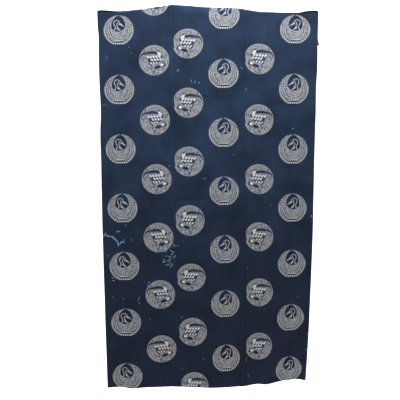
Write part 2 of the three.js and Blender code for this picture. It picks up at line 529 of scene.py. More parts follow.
class PanelCut:
    """The flat cut of one panel: its finished sides, and the cloth past them that is turned or runs under."""

    def __init__(self, name):
        s = sizes()
        self.left, self.right = (side * MM for side in PANELS[name]["sides"])
        self.lapped = PANELS[name]["lapped"]
        at_right_seam = self.right < CLOTH_WIDTH
        self.low = self.left
        self.high = self.right - (s.turned_gap / 2 + s.seam_gap if at_right_seam else 0)
        self.low_turning = s.seam_allowance if self.lapped else s.side_turning
        self.high_turning = s.seam_allowance if at_right_seam else s.side_turning
        self.flat_width = self.high - self.low + self.low_turning + self.high_turning
        self.flat_length = float(hem_down(np.array([self.left]))[0]) + s.flap_length + 2 * s.hem_turning

    def stations_across(self):
        """Flat coordinates of the mesh's columns, close together where the cloth turns under."""
        s = sizes()
        roll = math.pi * s.turned_gap / 2
        beside = np.array([0.0, 0.0012, 0.0026])
        clear = 0.0045
        count = round((self.high - self.low) / s.mesh_pitch)
        inner = np.linspace(self.low + clear, self.high - clear, count)
        edge = self.low - self.low_turning
        if self.lapped:
            low_edge = [np.linspace(edge, self.low - 0.0015, TURNING_ROWS + 1)]
        else:
            low_edge = [
                np.linspace(edge, self.low - roll, TURNING_ROWS + 1),
                np.linspace(self.low - roll, self.low, ROLL_ROWS + 1)[1:-1],
            ]
        return np.concatenate(
            [
                *low_edge,
                self.low + beside,
                inner,
                self.high - beside[::-1],
                np.linspace(self.high, self.high + roll, ROLL_ROWS + 1)[1:-1],
                np.linspace(self.high + roll, self.high + self.high_turning, TURNING_ROWS + 1),
            ]
        )

    def row_counts(self):
        """Rows of faces in each stretch of stations_down."""
        pitch = sizes().mesh_pitch
        face = round(FACE_STRETCH / pitch)
        flap = round(FLAP_STRETCH / pitch)
        return [TURNING_ROWS, ROLL_ROWS, TURNING_ROWS, face, FOLD_ROWS, flap, ROLL_ROWS, TURNING_ROWS]

    def stations_down(self, across, row):
        """Flat down coordinates of the mesh's rows, counted from the hem's turning up to the flap's."""
        s = sizes()
        roll = math.pi * s.turned_gap / 2
        hem = hem_down(across)
        rise = fold_rise(across)
        quarter = fold_radius(across) * math.pi / 2
        flap = np.full(len(across), -s.flap_length)
        stops = np.array(
            [
                hem + s.hem_turning,
                hem + roll,
                hem,
                hem - 0.006,
                quarter - rise,
                -quarter - rise,
                flap,
                flap - roll,
                flap - s.hem_turning,
            ]
        )
        starts = np.concatenate([[0], np.cumsum(self.row_counts())])
        k = np.clip(np.searchsorted(starts, row, side="right") - 1, 0, len(starts) - 2)
        t = (row - starts[k]) / (starts[k + 1] - starts[k])
        points = np.arange(len(across))
        return stops[k, points] * (1 - t) + stops[k + 1, points] * t

    def hem_gap(self, across):
        """How far behind the face the hem's turning lies: further where it goes round the side turnings."""
        s = sizes()
        from_side = np.minimum(across - self.low, self.high - across)
        widest = max(s.seam_allowance, s.side_turning)
        easing = 0.012
        corner = 1 - smooth_step(widest, widest + easing, from_side)
        return s.turned_gap * (1 + 2 * corner + 0.8 * self.under(across))

    def under(self, across):
        """The share by which the lapped edge has gone under the neighbouring panel."""
        if not self.lapped:
            return np.zeros(len(across))
        starts, ends = -0.0032, -0.0002
        return smooth_step(starts, ends, self.low - across)

    def place(self, across, down, behind=0.0):
        """Each flat point's place in the hung cloth, with its creases, seams and turnings."""
        s = sizes()
        # A lapped edge runs on flat, so the place where it would turn is put out of its reach.
        low = self.low - 1.0 if self.lapped else self.low
        base_across, side_share = turned(across, low, self.high, s.turned_gap)
        hem_gap = self.hem_gap(base_across)
        base_down, hem_share = turned(down, -s.flap_length, hem_down(base_across), hem_gap)
        normal = hung_normals(base_across, base_down)
        depth = side_share * s.turned_gap * (1 - 2 * hem_share) + hem_gap * hem_share
        lap = s.turned_gap + 0.0004
        depth += self.under(across) * lap * (1 - 2 * hem_share)
        facing = np.where(base_down > -fold_rise(base_across), 1.0, 0.0)
        height = crease_relief(base_across, base_down) * facing + sewing_relief(base_across, base_down)
        return hung_points(base_across, base_down) + normal * (height - depth - behind)[:, None]


# Materials


class Recipe:
    """Adds nodes to a material one after another. Numbers and sockets can be mixed."""

    def __init__(self, tree):
        self.tree = tree
        self.count = 0

    def add(self, kind, inputs=None, **settings):
        node = self.tree.nodes.new(kind)
        node.location = (180 * (self.count % 24), -220 * (self.count // 24))
        self.count += 1
        for name, value in settings.items():
            setattr(node, name, value)
        for key, value in (inputs or {}).items():
            if isinstance(value, bpy.types.NodeSocket):
                self.tree.links.new(value, node.inputs[key])
            else:
                node.inputs[key].default_value = value
        return node

    def math(self, operation, *values, clamp=False):
        node = self.add("ShaderNodeMath", dict(enumerate(values)), operation=operation, use_clamp=clamp)
        return node.outputs[0]

    def plus(self, first, second):
        return self.math("ADD", first, second)

    def minus(self, first, second):
        return self.math("SUBTRACT", first, second)

    def times(self, first, second):
        return self.math("MULTIPLY", first, second)

    def times_plus(self, first, second, third):
        return self.math("MULTIPLY_ADD", first, second, third)

    def vector(self, operation, *values):
        node = self.add("ShaderNodeVectorMath", dict(enumerate(values)), operation=operation)
        single = operation in ("DISTANCE", "LENGTH", "DOT_PRODUCT")
        return node.outputs["Value" if single else "Vector"]

    def scaled(self, vector, factor):
        node = self.add("ShaderNodeVectorMath", {0: vector, "Scale": factor}, operation="SCALE")
        return node.outputs["Vector"]

    def combine(self, x, y, z=0.0):
        return self.add("ShaderNodeCombineXYZ", {0: x, 1: y, 2: z}).outputs[0]

    def separate(self, vector):
        return self.add("ShaderNodeSeparateXYZ", {0: vector}).outputs

    def ramp(self, value, low, high, to_low=0.0, to_high=1.0):
        """The value's way from low to high, as a number from to_low to to_high."""
        return self.add(
            "ShaderNodeMapRange", {0: value, 1: low, 2: high, 3: to_low, 4: to_high}, clamp=True
        ).outputs[0]

    def blend(self, share, first, second):
        node = self.add("ShaderNodeMix", {0: share, 2: first, 3: second}, data_type="FLOAT")
        return node.outputs[0]

    def colour_blend(self, share, first, second):
        node = self.add("ShaderNodeMix", {0: share, 6: first, 7: second}, data_type="RGBA")
        return node.outputs[2]

    def level(self, name):
        """The number that the mesh keeps for each point under that name."""
        return self.add("ShaderNodeAttribute", attribute_name=name).outputs["Fac"]

    def noise(self, vector, scale, detail=2.0, roughness=0.5):
        return self.add(
            "ShaderNodeTexNoise", {"Vector": vector, "Scale": scale, "Detail": detail, "Roughness": roughness}
        ).outputs[0]


class Pen(Recipe):
    """Draws shapes as distances, which are below zero inside the shape, in units of the roundel's radius."""

    SOFT = 0.012

    def disc(self, p, centre, radius):
        return self.minus(self.vector("DISTANCE", p, (*centre, 0)), radius)

    def ring(self, p, centre, radius, width):
        """A round line of that half width."""
        return self.minus(self.math("ABSOLUTE", self.disc(p, centre, radius)), width)

    def oval(self, p, centre, radii, turn=0.0):
        local = self.add(
            "ShaderNodeMapping",
            {0: p, 1: (*centre, 0), 2: (0, 0, turn), 3: (*radii, 1)},
            vector_type="TEXTURE",
        ).outputs[0]
        least = min(radii)
        return self.times_plus(self.vector("LENGTH", local), least, -least)

    def lens(self, p, first, second, radius):
        """What two discs share."""
        from_first = self.vector("DISTANCE", p, (*first, 0))
        from_second = self.vector("DISTANCE", p, (*second, 0))
        return self.minus(self.both(from_first, from_second), radius)

    def crescent(self, p, outer, outer_radius, inner, inner_radius):
        """A disc without the disc inside it."""
        disc = self.disc(p, outer, outer_radius)
        return self.both(disc, self.minus(inner_radius, self.vector("DISTANCE", p, (*inner, 0))))

    def stroke(self, p, start, end, start_width, end_width):
        """A straight line with half widths at its ends."""
        line = np.array(end) - np.array(start)
        along = line / (line @ line)
        offset = self.vector("SUBTRACT", p, (*start, 0))
        share = self.math("ADD", self.vector("DOT_PRODUCT", offset, (*along, 0)), 0.0, clamp=True)
        away = self.vector("DISTANCE", offset, self.scaled((*line, 0), share))
        width = self.times_plus(share, start_width - end_width, -start_width)
        return self.plus(away, width)

    def either(self, shapes):
        """The shapes joined. They are given as functions, so that each is drawn and joined in turn."""
        joined = shapes[0]()
        for shape in shapes[1:]:
            joined = self.math("MINIMUM", joined, shape())
        return joined

    def both(self, first, second):
        """What two shapes share, or the higher of two tones."""
        return self.math("MAXIMUM", first, second)

    def inside(self, distance, soft=SOFT):
        """1 inside the shape and 0 outside it, with a soft edge."""
        return self.ramp(distance, soft, -soft)

    def paint(self, tone, shape, amount=1.0):
        """The tone with the shape kept white."""
        return self.both(tone, self.times(self.inside(shape), amount))

    def cut(self, tone, shape, left=0.0):
        """The tone with the shape dyed, apart from what is left."""
        return self.times(tone, self.ramp(shape, -self.SOFT, self.SOFT, left))


# Lines of the roundels, in units of their radius: (start, end, half width at the start, at the end).
CRANE_NECK = (
    ((-0.315, 0.38), (-0.205, 0.2), 0.022, 0.022),
    ((-0.205, 0.2), (-0.29, 0.0), 0.022, 0.032),
)
CRANE_BEAK = ((0.07, 0.43), (0.35, 0.24), 0.066, 0.014)
CRANE_LEG = ((-0.07, 0.11), (0.12, -0.025), 0.06, 0.02)
TURTLE_SHADOWS = (
    ((0.17, 0.46), (-0.13, 0.5), 0.08, 0.1),
    ((-0.13, 0.5), (-0.5, 0.45), 0.1, 0.07),
    ((0.13, 0.44), (0.1, 0.35), 0.045, 0.03),
    ((0.33, 0.6), (0.26, 0.56), 0.05, 0.035),
    ((0.55, 0.34), (0.5, 0.15), 0.03, 0.045),
    ((0.31, -0.05), (0.22, -0.2), 0.035, 0.035),
    ((-0.28, 0.0), (-0.56, 0.2), 0.035, 0.022),
    ((-0.17, -0.36), (-0.3, -0.18), 0.045, 0.03),
    ((-0.16, -0.5), (-0.18, -0.6), 0.04, 0.03),
    ((-0.02, -0.73), (-0.06, -0.77), 0.045, 0.045),
)
# Rows of cells on the turtle's shell: how high, the first one's place, how many, and their half width.
SHELL_ROWS = ((0.2, -0.41, 5, 0.056), (0.02, -0.14, 4, 0.052), (-0.19, -0.2, 3, 0.04))
# Rows of beads on the crane's tail: how high, how far aside, and their radius.
TAIL_BEADS = ((-0.7, -0.03, 0.046), (-0.885, 0.0725, 0.056))
BEAD_STEP = 0.145


def draw_crane(pen, p):
    """A crane with its wings raised in a circle: 1 where the paste kept the cloth white."""
    x, y, _ = pen.separate(p)
    radius = pen.vector("LENGTH", p)
    around = pen.math("ARCTAN2", x, y)
    lobes = pen.math("ABSOLUTE", pen.math("SINE", pen.times(around, 19.0)))
    rows = pen.plus(pen.times(lobes, 0.5), pen.times_plus(radius, 7.6, 0.3))
    rows = pen.math("FRACT", rows)
    feathers = pen.times(pen.ramp(rows, 0.2, 0.45, 0.18, 0.63), pen.ramp(lobes, 0.1, 0.6, 0.32, 1.0))
    speckle = pen.noise(p, 15.0, 1.0)
    feathers = pen.times(feathers, pen.ramp(speckle, 0.42, 0.54, 0.27, 1.2))
    scales = pen.add(
        "ShaderNodeTexVoronoi", {"Vector": p, "Scale": 11.0, "Randomness": 0.6}, feature="DISTANCE_TO_EDGE"
    ).outputs["Distance"]
    body = pen.inside(pen.disc(p, (0.0, -0.05), 0.55), 0.03)
    tone = pen.blend(body, feathers, pen.ramp(scales, 0.04, 0.16, 0.2, 0.58))
    sides = pen.math("ABSOLUTE", pen.plus(x, 0.02))
    low_sides = pen.both(pen.minus(0.24, sides), pen.plus(y, -0.06))
    tone = pen.cut(tone, pen.both(pen.ring(p, (0.0, 0.0), 0.585, 0.026), low_sides), 0.25)
    tone = pen.paint(tone, pen.both(pen.ring(p, (0.0, 0.0), 0.65, 0.022), low_sides), 0.5)
    tone = pen.cut(tone, pen.both(pen.ring(p, (0.0, 0.0), 0.855, 0.022), pen.plus(y, 0.15)), 0.35)
    tone = pen.paint(tone, pen.both(pen.ring(p, (0.0, 0.0), 0.95, 0.025), pen.plus(y, -0.25)), 0.6)

    tail = pen.minus(sides, 0.3)
    tone = pen.cut(tone, pen.both(tail, pen.plus(y, 0.74)))
    for bead_y, shift, radius_of_bead in TAIL_BEADS:
        bead_x = pen.math("WRAP", pen.plus(x, shift), BEAD_STEP / 2, -BEAD_STEP / 2)
        bead = pen.disc(pen.combine(bead_x, y), (0.0, bead_y), radius_of_bead)
        tone = pen.paint(tone, pen.both(bead, tail), 0.85)

    opening = pen.both(pen.lens(p, (0.285, 0.3), (-0.33, 0.3), 0.78), pen.disc(p, (-0.05, 0.43), 0.53))
    tone = pen.paint(tone, pen.minus(opening, 0.035), 0.48)
    tone = pen.cut(tone, opening)
    tone = pen.cut(tone, pen.stroke(p, (0.02, 0.85), (0.02, 1.05), 0.07, 0.035))
    neck = pen.either(
        [
            lambda: pen.both(pen.ring(p, (-0.13, 0.475), 0.195, 0.022), pen.minus(0.36, y)),
            *[lambda line=line: pen.stroke(p, *line) for line in CRANE_NECK],
            lambda: pen.both(pen.ring(p, (0.14, 0.35), 0.25, 0.022), pen.plus(x, 0.01)),
            lambda: pen.stroke(p, *CRANE_BEAK),
            lambda: pen.stroke(p, *CRANE_LEG),
        ]
    )
    tone = pen.paint(tone, neck, 0.65)
    tone = pen.cut(tone, pen.disc(p, (0.01, 0.495), 0.05))
    edge = pen.times_plus(lobes, -0.028, pen.minus(radius, 0.985))
    return pen.times(tone, pen.inside(edge))


def draw_turtle(pen, p):
    """A turtle with a tail of weed that flows round it: 1 where the paste kept the cloth white."""
    x, y, _ = pen.separate(p)
    radius = pen.vector("LENGTH", p)
    direction = pen.scaled(pen.vector("NORMALIZE", p), 6.2)
    flow = pen.vector("ADD", direction, pen.combine(0.0, 0.0, pen.times(radius, 17.0)))
    weed = pen.noise(flow, 1.0, 1.0, 0.5)
    tone = pen.ramp(weed, 0.4, 0.56, 0.13, 0.5)

    def above_left():
        return pen.both(pen.plus(x, 0.5), pen.minus(0.1, y))

    dark = pen.either(
        [
            lambda: pen.both(pen.ring(p, (-0.5, 0.01), 0.455, 0.06), above_left()),
            *[lambda line=line: pen.stroke(p, *line) for line in TURTLE_SHADOWS],
            lambda: pen.crescent(p, (0.56, -0.3), 0.17, (0.5, -0.3), 0.14),
        ]
    )
    tone = pen.cut(tone, dark, 0.03)
    tone = pen.paint(tone, pen.ring(p, (0.0, 0.0), 0.955, 0.03), 0.36)
    tone = pen.cut(tone, pen.oval(p, (0.03, 0.05), (0.46, 0.25), 0.12), 0.15)
    cells = []
    for cell_y, start, count, size in SHELL_ROWS:
        for k in range(count):
            centre = (start + 0.185 * k, cell_y + 0.012 * k)
            cells.append(lambda centre=centre, size=size: pen.oval(p, centre, (size * 1.9, size), -0.75))
    cells.append(lambda: pen.oval(p, (0.325, 0.42), (0.165, 0.075), -0.87))
    cells.append(lambda: pen.oval(p, (0.51, -0.3), (0.1, 0.085), 0.1))
    tone = pen.paint(tone, pen.either(cells))
    tone = pen.cut(tone, pen.lens(p, (0.155, -0.25), (0.275, -0.655), 0.32))
    return pen.times(tone, pen.inside(pen.minus(radius, 0.985)))


# The cloth's threads, and how much of the print shows on its back.
WARP_PITCH = 0.0011
WEFT_PITCH = 0.0012
SHOWS_THROUGH = 0.22


def stencil_tone(pen, print_map, cut_at_edge):
    """How much paste the stencil laid at each point of the print's own map."""
    s = print_sizes()
    noise = pen.add("ShaderNodeTexNoise", {"Vector": print_map, "Scale": 500.0, "Detail": 1.0})
    ragged = pen.scaled(pen.vector("SUBTRACT", noise.outputs["Color"], (0.5, 0.5, 0.5)), 0.002)
    u, v, _ = pen.separate(pen.vector("ADD", print_map, ragged))
    is_turtle = pen.math("GREATER_THAN", u, (s.crane_column + s.turtle_column) / 2)
    middle = pen.blend(is_turtle, s.crane_column, s.turtle_column)
    half = s.stencil_repeat / 2
    local_v = pen.math("WRAP", pen.times_plus(is_turtle, -s.turtle_drop, v), half, -half)
    p = pen.combine(
        pen.math("DIVIDE", pen.minus(u, middle), s.roundel_radius),
        pen.math("DIVIDE", local_v, -s.roundel_radius),
    )
    crane = draw_crane(pen, pen.scaled(p, 1.02))
    turtle = draw_turtle(pen, p)
    tone = pen.blend(is_turtle, crane, turtle)
    if cut_at_edge:
        end = s.turtle_column + s.stencil_edge
        tone = pen.times(tone, pen.ramp(u, end + 0.0008, end - 0.0008))
    return tone


def blank_material(name):
    """A material without nodes."""
    material = bpy.data.materials.new(name)
    material.use_nodes = True
    material.node_tree.nodes.clear()
    return material


def cotton_material(name, is_back):
    """Indigo-dyed cotton of one panel. The print shows faintly on its back."""
    c = colours()
    material = blank_material(f"indigo_{name}_back" if is_back else f"indigo_{name}")
    pen = Pen(material.node_tree)
    print_map = pen.add("ShaderNodeUVMap", uv_map="print").outputs[0]
    tone = stencil_tone(pen, print_map, PANELS[name]["mirrored"])

    cloth_map = pen.add("ShaderNodeUVMap", uv_map="cloth").outputs[0]
    threads = pen.vector("MULTIPLY", cloth_map, (2 * math.pi / WARP_PITCH, 2 * math.pi / WEFT_PITCH, 1.0))
    warp, weft, _ = pen.separate(threads)
    weave = pen.times(pen.math("SINE", warp), pen.math("SINE", weft))
    slubs = pen.noise(pen.vector("MULTIPLY", cloth_map, (28.0, 640.0, 1.0)), 1.0, 2.0, 0.6)
    streaks = pen.noise(pen.vector("MULTIPLY", cloth_map, (380.0, 7.0, 1.0)), 1.0, 2.0, 0.6)
    clouds = pen.noise(cloth_map, 7.0, 4.0, 0.6)
    value = pen.times(pen.ramp(clouds, 0.32, 0.68, 0.76, 1.24), pen.ramp(streaks, 0.3, 0.7, 0.88, 1.12))
    value = pen.times(value, pen.ramp(slubs, 0.3, 0.7, 0.92, 1.08))
    ground = pen.colour_blend(pen.ramp(clouds, 0.35, 0.7, 0.0, 0.22), (*c.indigo, 1.0), (*c.second_dip, 1.0))
    ground = pen.scaled(ground, value)

    # Painted highlight on the crest and painted sheen over the upper half, with the paler seam line, blend
    # the ground to the pale blue, unevenly.
    highlight_and_paling = pen.times(pen.level("highlight_and_paling"), pen.ramp(clouds, 0.35, 0.65, 0.6, 1.4))
    ground = pen.colour_blend(highlight_and_paling, ground, (*c.highlight_pale_blue, 1.0))
    paste = pen.times(tone, pen.ramp(weave, -1.0, 1.0, 0.86, 1.0))
    paste = pen.times(paste, pen.ramp(slubs, 0.3, 0.7, 0.88, 1.0))
    paste = pen.times(paste, pen.ramp(pen.level("unprinted"), 0.0, 1.0, 1.0, 0.0))
    if is_back:
        paste = pen.times(paste, SHOWS_THROUGH)
    patches = pen.ramp(pen.noise(cloth_map, 9.0, 3.0, 0.6), 0.5, 0.68, 0.0, 0.6)
    undyed = pen.colour_blend(patches, (*c.resist, 1.0), (*c.yellowed, 1.0))
    colour = pen.colour_blend(paste, ground, undyed)

    marks = pen.add("ShaderNodeAttribute", attribute_name="marks").outputs["Vector"]
    along, aside, strength = pen.separate(marks)
    reach = pen.vector("LENGTH", pen.combine(along, aside))
    reach = pen.times_plus(pen.noise(cloth_map, 260.0, 1.0), 1.1, pen.minus(reach, 0.55))
    in_mark = pen.times(pen.ramp(reach, 1.2, 0.75), pen.ramp(streaks, 0.35, 0.6, 0.55, 1.0))
    pale = pen.times(pen.math("MULTIPLY", strength, 1.0, clamp=True), in_mark)
    colour = pen.colour_blend(pale, colour, (*c.faded, 1.0))
    # Burn spots, and the long mark that is a painted shadow, darken the cloth.
    burnt_and_shadow_marks = pen.times(pen.math("MULTIPLY", strength, -1.0, clamp=True), in_mark)
    # Painted shade on the corners and flap side, and the dark crest line, join the marks in darkening to near
    # black.
    painted_shade_and_line = pen.level("painted_shade_and_line")
    dark = pen.both(burnt_and_shadow_marks, painted_shade_and_line)
    colour = pen.colour_blend(pen.times(dark, 0.97), colour, (*c.burn_and_shade_black, 1.0))

    height = pen.times_plus(slubs, 0.7, pen.times_plus(tone, 0.15, weave))
    bump = pen.add("ShaderNodeBump", {"Strength": 0.4, "Distance": 0.00035, "Height": height})
    surface = pen.add(
        "ShaderNodeBsdfPrincipled",
        {
            "Base Color": colour,
            "Roughness": 0.9,
            "Specular IOR Level": 0.12,
            "Sheen Weight": 0.04,
            "Sheen Roughness": 0.5,
            "Normal": bump.outputs[0],
        },
    )
    pen.add("ShaderNodeOutputMaterial", {0: surface.outputs[0]})
    return material


def thread_material(name, colour):
    """Twisted sewing thread."""
    material = blank_material(name)
    recipe = Recipe(material.node_tree)
    place = recipe.add("ShaderNodeTexCoord").outputs["Object"]
    twist = recipe.add(
        "ShaderNodeTexWave", {"Vector": place, "Scale": 900.0, "Distortion": 0.6}, bands_direction="DIAGONAL"
    ).outputs["Fac"]
    hollow = [0.6 * part for part in colour]
    shade = recipe.colour_blend(recipe.ramp(twist, 0.0, 1.0), (*hollow, 1.0), (*colour, 1.0))
    bump = recipe.add("ShaderNodeBump", {"Strength": 0.5, "Distance": 0.0001, "Height": twist})
    surface = recipe.add(
        "ShaderNodeBsdfPrincipled", {"Base Color": shade, "Roughness": 0.75, "Normal": bump.outputs[0]}
    )
    recipe.add("ShaderNodeOutputMaterial", {0: surface.outputs[0]})
    return material


# Pieces


def print_place(name, across, down):
    """Where flat points of a panel lie in its print: from the outer side of the loom width, and down."""
    panel = PANELS[name]
    left, right = (side * MM for side in panel["sides"])
    aside = across - smooth_line(PRINT_DRIFT["down"], PRINT_DRIFT[f"{name}_aside"], down)
    lower = smooth_line(PRINT_DRIFT["down"], PRINT_DRIFT[f"{name}_lower"], down)
    outer = right - aside if panel["mirrored"] else aside - left
    p = print_sizes()
    between = (p.crane_column + p.turtle_column) / 2
    easing = 0.008
    in_turtles = smooth_step(between - easing, between + easing, outer)
    return outer, down - lower - (panel["first_crane"] + panel["turtle_lower"] * in_turtles) * MM


def from_to(low, rise_end, fall_start, high, at):
    """1 between the two inner places, and fading to 0 at the outer ones."""
    return smooth_step(low, rise_end, at) * (1 - smooth_step(fall_start, high, at))


def unprinted_level(across, down):
    """Where the paste is missing: over the right panel's top, and in part on the arched crest."""
    turtles_end, easing = 0.81, 0.002
    start = np.where(across < turtles_end, 0.03, 0.002)
    bare = 1 - smooth_step(start - easing, start + easing, down)
    bare = np.where(across > PANEL_SIDES[2], bare, 0)
    from_crest = down + fold_rise(across)
    crest = from_to(0.12, 0.24, 0.62, 0.74, across) * np.exp(-((from_crest / 0.015) ** 2))
    return np.maximum(0.4 * crest, bare)


def highlight_and_paling_level(across, down):
    """How far the ground is blended towards the pale blue: a painted highlight under the crest and a brighter
    painted highlight along its edge, a painted sheen that pales the upper half, and a thin paler line by the
    left seam.
    """
    from_crest = down + fold_rise(across)
    # Painted highlight: a pale band just under the crest, where the lamp above lights the fold.
    band = np.exp(-(((from_crest - 0.022) / 0.034) ** 2))
    highlight_and_paling = 0.13 * from_to(0.25, 0.4, 0.62, 0.74, across) * band
    # Painted highlight: a pale line along the crest's edge over two stretches.
    edge = from_to(0.06, 0.1, 0.2, 0.23, across) + from_to(0.64, 0.67, 0.73, 0.78, across)
    highlight_and_paling = np.maximum(highlight_and_paling, 0.75 * edge * np.exp(-((from_crest / 0.0095) ** 2)))
    # Painted sheen: the upper half paler, fading out downwards.
    highlight_and_paling = np.maximum(highlight_and_paling, 0.072 * (1 - smooth_step(0.3, 1.65, down)))
    # A thin paler line just left of the left seam.
    return highlight_and_paling + 0.035 * np.exp(-(((across - PANEL_SIDES[1] + 0.002) / 0.003) ** 2))


def painted_shade_and_line_level(across, down):
    """Painted shade on the raised corners and down the flap's right side, and a dark line on the crest."""
    from_crest = down + fold_rise(across)
    from_side = np.minimum(across + 0.006, CLOTH_WIDTH - across)
    # Painted shade: the raised corners near black, as cloth in shadow.
    corner = (1 - smooth_step(0.055, 0.078, from_side)) * (1 - smooth_step(0.009, 0.0135, np.abs(from_crest)))
    # A dark line along the middle of the crest.
    line = 0.85 * from_to(0.33, 0.34, 0.43, 0.52, across) * from_to(-0.02, -0.012, 0.003, 0.009, from_crest)
    # Painted shade: the flap's right side darkened, as it lies in shadow behind the face.
    flap_side = smooth_step(0.96, 0.975, across) * (1 - smooth_step(-0.012, -0.006, from_crest))
    return np.maximum(np.maximum(corner, line), 0.9 * flap_side)


def new_piece(name, bm, materials):
    """A smooth-shaded mesh object from a bmesh, with its materials."""
    mesh = bpy.data.meshes.new(name)
    bm.to_mesh(mesh)
    bm.free()
    mesh.polygons.foreach_set("use_smooth", [True] * len(mesh.polygons))
    for material in materials:
        mesh.materials.append(material)
    piece = bpy.data.objects.new(name, mesh)
    bpy.context.scene.collection.objects.link(piece)
    return piece


def corner_vertices(mesh):
    """The vertex that each corner of a face lies on."""
    corner = np.zeros(len(mesh.loops), np.int32)
    mesh.loops.foreach_get("vertex_index", corner)
    return corner


def write_map(mesh, name, u, v):
    """A UV map in metres from one pair of numbers for each vertex."""
    corner = corner_vertices(mesh)
    layer = mesh.uv_layers.new(name=name)
    layer.uv.foreach_set("vector", np.stack([u[corner], v[corner]], 1).astype(np.float32).ravel())


def write_level(mesh, name, levels):
    """An attribute with one number for each vertex."""
    layer = mesh.attributes.new(name, "FLOAT", "POINT")
    layer.data.foreach_set("value", levels.astype(np.float32))


def pale_tone(across, length, width):
    """How pale a mark is, from its place and half sizes in millimetres."""
    if length <= SCRATCH_LENGTH or width <= SCRATCH_WIDTH:
        return FLECK_TONE
    return BRANCH_TONE if across < BRANCH_END else SCRATCH_TONE


def write_marks(mesh, name, across, down):
    """Each face's corners in the frame of the mark nearest to it: along and across it in its half sizes,
    and its tone, which is below zero for a dark mark."""
    corners = np.stack([across, down], 1)[corner_vertices(mesh)].reshape(-1, 4, 2)
    middles = corners.mean(1)
    nearest = np.full(len(middles), np.inf)
    frames = np.zeros((len(middles), 4, 3), np.float32)
    marks = [(*row, pale_tone(row[0], row[2], row[3])) for row in PALE_MARKS[name]]
    # The long dark mark is a painted shadow; the others are burn spots.
    marks += [(*row, SHADOW_MARK_TONE if row[2] > SHADOW_MARK_LENGTH else BURNT_TONE) for row in DARK_MARKS[name]]
    for mark_across, mark_down, length, width, turn, tone in marks:
        cos = math.cos(math.radians(turn))
        sin = math.sin(math.radians(turn))
        frame = np.array([[cos / length, -sin / width], [sin / length, cos / width]]) / MM
        centre = np.array([mark_across, mark_down]) * MM
        reach = np.linalg.norm((middles - centre) @ frame, axis=1)
        near = reach < nearest
        nearest[near] = reach[near]
        frames[near, :, :2] = (corners[near] - centre) @ frame
        frames[near, :, 2] = tone
    layer = mesh.attributes.new("marks", "FLOAT_VECTOR", "CORNER")
    layer.data.foreach_set("vector", frames.ravel())


def add_stitches(bm, cut, ends, behind):
    """Thread from each first to each second flat point of a panel, so far behind its face."""
    s = sizes()
    starts = cut.place(ends[:, 0], ends[:, 1], behind)
    stops = cut.place(ends[:, 2], ends[:, 3], behind)
    normals = hung_normals(ends[:, 0], ends[:, 1])
    row = bmesh.new()
    for start, stop, normal in zip(starts, stops, normals):
        half = Vector((stop - start) / 2)
        up = Vector(normal) * s.thread * 0.5
        side = half.normalized().cross(up)
        matrix = Matrix((up, side, half)).transposed().to_4x4()
        matrix.translation = Vector((start + stop) / 2)
        bmesh.ops.create_uvsphere(row, u_segments=6, v_segments=5, radius=1.0, matrix=matrix)
    mesh = bpy.data.meshes.new("stitches")
    row.to_mesh(mesh)
    row.free()
    bm.from_mesh(mesh)
    bpy.data.meshes.remove(mesh)


class KATAZOME_OT_panel(bpy.types.Operator):
    """Builds one printed panel with its turned edges"""

    bl_idname = "katazome.panel"
    bl_label = "Cloth Panel"

    index: IntProperty(name="Panel", description="0 left, 1 middle, 2 right", default=0, min=0, max=2)

    def execute(self, context):
        name = list(PANELS)[self.index]
        cut = PanelCut(name)
        columns = cut.stations_across()
        rows = sum(cut.row_counts())
        bm = bmesh.new()
        bmesh.ops.create_grid(bm, x_segments=len(columns) - 1, y_segments=rows, size=1.0)
        piece = new_piece(f"cloth_{name}", bm, [cotton_material(name, False), cotton_material(name, True)])
        mesh = piece.data
        grid = np.zeros(len(mesh.vertices) * 3, np.float32)
        mesh.vertices.foreach_get("co", grid)
        grid = grid.reshape(-1, 3)
        column = np.rint((grid[:, 0] + 1) / 2 * (len(columns) - 1)).astype(int)
        row = np.rint((grid[:, 1] + 1) / 2 * rows)
        across = columns[column]
        base_across, _ = turned(across, cut.low, cut.high, sizes().turned_gap)
        down = cut.stations_down(base_across, row)
        mesh.vertices.foreach_set("co", cut.place(across, down).astype(np.float32).ravel())
        write_map(mesh, "cloth", across, down)
        write_map(mesh, "print", *print_place(name, across, down))
        write_marks(mesh, name, across, down)
        write_level(mesh, "highlight_and_paling", highlight_and_paling_level(across, down))
        write_level(mesh, "unprinted", unprinted_level(across, down))
        write_level(mesh, "painted_shade_and_line", painted_shade_and_line_level(across, down))
        mesh.update()
        thick = piece.modifiers.new("thickness", "SOLIDIFY")
        thick.thickness = sizes().thickness
        thick.offset = -1.0
        thick.material_offset = 1
        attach(piece, BODY)
        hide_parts(f"panel_{name}")
        return {"FINISHED"}


def stitch_row(start, stop, step, length):
    """Starts and ends of evenly spaced stitches along a line, with a hand's unevenness."""
    count = int((stop - start) / step)
    at = start + (np.arange(count) + 0.5) * (stop - start) / count
    k = np.arange(count)
    at += 0.0012 * np.sin(k * 2.7) + 0.0008 * np.sin(k * 5.3 + 1)
    half = length / 2 * (1 + 0.25 * np.sin(k * 1.9 + 0.6))
    return at - half, at + half


